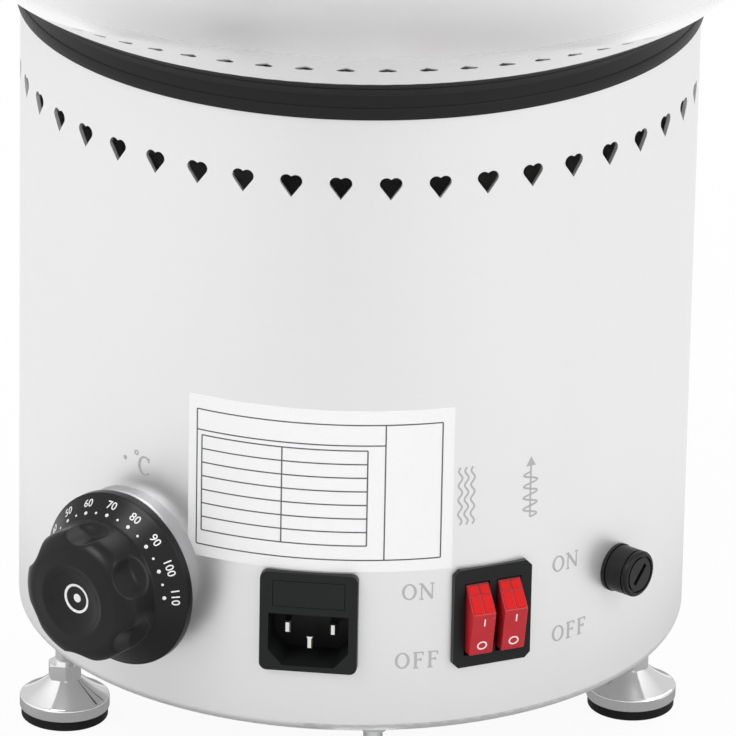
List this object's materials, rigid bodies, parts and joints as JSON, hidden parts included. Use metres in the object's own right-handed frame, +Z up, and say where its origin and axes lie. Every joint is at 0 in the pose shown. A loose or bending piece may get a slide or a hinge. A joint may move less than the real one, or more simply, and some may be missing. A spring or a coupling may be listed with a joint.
{
  "type": "chocolate fountain",
  "caption": "Table-top chocolate fountain: round steel base on levelling feet, heated bowl, tiered lift-off tower with a screw auger, thermostat dial, rocker switches and mains inlet.",
  "frame": {"origin": "on the floor, at the centre line of the base", "axes": "+Z up along the auger; the mains inlet and the control panel face -Y"},
  "size_m": [0.3378, 0.3376, 0.65],
  "materials": {
    "black_plastic": "fine texture",
    "black_rubber": "matt",
    "cast_alloy": "as cast",
    "charcoal_plastic": "semi-gloss",
    "chrome": "bright",
    "copper": "bright copper",
    "fuse_glass": "clear",
    "mica_grey": "mica",
    "motor_paint": "satin",
    "natural_nylon": "natural",
    "nickel_blade": "nickel plated",
    "polished_steel": "polished stainless",
    "red_plastic": "translucent gloss",
    "satin_grey": "satin",
    "shell_steel": "fine brushed stainless",
    "zinc_steel": "zinc plated"
  },
  "bodies": {
    "base": {"base_shell": "shell_steel", "bottom_plate": "shell_steel", "bowl": "polished_steel", "tower_seat": "polished_steel", "rim_ring": "black_rubber", "bottom_screws": "zinc_steel", "foot_sockets": "zinc_steel", "foot_lock_nuts": "zinc_steel", "thermostat_screws": "zinc_steel", "bulb_clip": "zinc_steel", "heater_clamp": "zinc_steel", "heater_nuts": "zinc_steel", "motor_pillars": "zinc_steel", "motor_plate": "zinc_steel", "motor_screws": "zinc_steel", "bush_nut": "zinc_steel", "thermostat_body": "zinc_steel", "dial_boss": "satin_grey", "fuse_holder": "black_plastic", "fuse_holder_nut": "black_plastic", "inlet_body": "charcoal_plastic", "switch_frame": "charcoal_plastic", "inlet_pins": "nickel_blade", "switch_terminals": "nickel_blade", "capillary_tube": "copper", "sensing_bulb": "copper", "heater_ring": "mica_grey", "gearbox_case": "cast_alloy", "motor_can": "motor_paint", "terminal_block": "natural_nylon", "shaft_bush": "natural_nylon"},
    "dial": {"dial_knob": "black_plastic", "thermostat_spindle": "zinc_steel"},
    "heat_switch": {"heat_rocker": "red_plastic"},
    "motor_switch": {"motor_rocker": "red_plastic"},
    "fuse_insert": {"panel_fuse": "fuse_glass"},
    "fuse_cap": {"fuse_cap": "black_plastic"},
    "drawer": {"fuse_drawer": "charcoal_plastic", "drawer_fuse": "fuse_glass"},
    "drive": {"drive_shaft": "zinc_steel"},
    "auger": {"auger": "polished_steel"},
    "tower": {"tower_tube": "polished_steel"},
    "lower_tier": {"lower_canopy": "polished_steel"},
    "middle_tier": {"middle_canopy": "polished_steel"},
    "upper_tier": {"upper_canopy": "polished_steel"},
    "crown": {"crown": "polished_steel"},
    "foot_1": {"foot_1_stud": "chrome", "foot_1_pad": "black_rubber"},
    "foot_2": {"foot_2_stud": "chrome", "foot_2_pad": "black_rubber"},
    "foot_3": {"foot_3_stud": "chrome", "foot_3_pad": "black_rubber"},
    "foot_4": {"foot_4_stud": "chrome", "foot_4_pad": "black_rubber"}
  },
  "joints": [
    {"name": "dial_turn", "type": "hinge", "parent": "base", "child": "dial", "pos_m": [-0.06438, -0.10715, 0.0852], "axis": [-0.515, -0.8572, 0], "range_deg": [-73, 99]},
    {"name": "heat_switch_tilt", "type": "hinge", "parent": "base", "child": "heat_switch", "pos_m": [0.04912, -0.09205, 0.0773], "axis": [0.8572, 0.515, 0], "range_deg": [0, 18]},
    {"name": "motor_switch_tilt", "type": "hinge", "parent": "base", "child": "motor_switch", "pos_m": [0.05821, -0.08659, 0.0773], "axis": [0.8572, 0.515, 0], "range_deg": [0, 18]},
    {"name": "fuse_pull", "type": "slide", "parent": "base", "child": "fuse_insert", "axis": [0.848, -0.5299, 0], "range_m": [0, 0.026]},
    {"name": "fuse_cap_turn", "type": "hinge", "parent": "fuse_insert", "child": "fuse_cap", "pos_m": [0.09159, -0.05723, 0.0806], "axis": [0.848, -0.5299, 0], "range_deg": [0, 90]},
    {"name": "drawer_slide", "type": "slide", "parent": "base", "child": "drawer", "axis": [0, -1, 0], "range_m": [0, 0.018]},
    {"name": "drive_spin", "type": "hinge", "parent": "base", "child": "drive", "pos_m": [0, 0, 0.22], "axis": [0, 0, 1], "continuous": true},
    {"name": "auger_lift", "type": "slide", "parent": "drive", "child": "auger", "axis": [0, 0, 1], "range_m": [0, 0.38]},
    {"name": "tower_lift", "type": "slide", "parent": "base", "child": "tower", "axis": [0, 0, 1], "range_m": [0, 0.38]},
    {"name": "lower_tier_lift", "type": "slide", "parent": "tower", "child": "lower_tier", "axis": [0, 0, 1], "range_m": [0, 0.235]},
    {"name": "middle_tier_lift", "type": "slide", "parent": "lower_tier", "child": "middle_tier", "axis": [0, 0, 1], "range_m": [0, 0.16]},
    {"name": "upper_tier_lift", "type": "slide", "parent": "middle_tier", "child": "upper_tier", "axis": [0, 0, 1], "range_m": [0, 0.09]},
    {"name": "crown_lift", "type": "slide", "parent": "upper_tier", "child": "crown", "axis": [0, 0, 1], "range_m": [0, 0.035]},
    {"name": "foot_1_adjust", "type": "slide", "parent": "base", "child": "foot_1", "axis": [0, 0, 1], "range_m": [-0.012, 0]},
    {"name": "foot_2_adjust", "type": "slide", "parent": "base", "child": "foot_2", "axis": [0, 0, 1], "range_m": [-0.012, 0]},
    {"name": "foot_3_adjust", "type": "slide", "parent": "base", "child": "foot_3", "axis": [0, 0, 1], "range_m": [-0.012, 0]},
    {"name": "foot_4_adjust", "type": "slide", "parent": "base", "child": "foot_4", "axis": [0, 0, 1], "range_m": [-0.012, 0]}
  ]
}
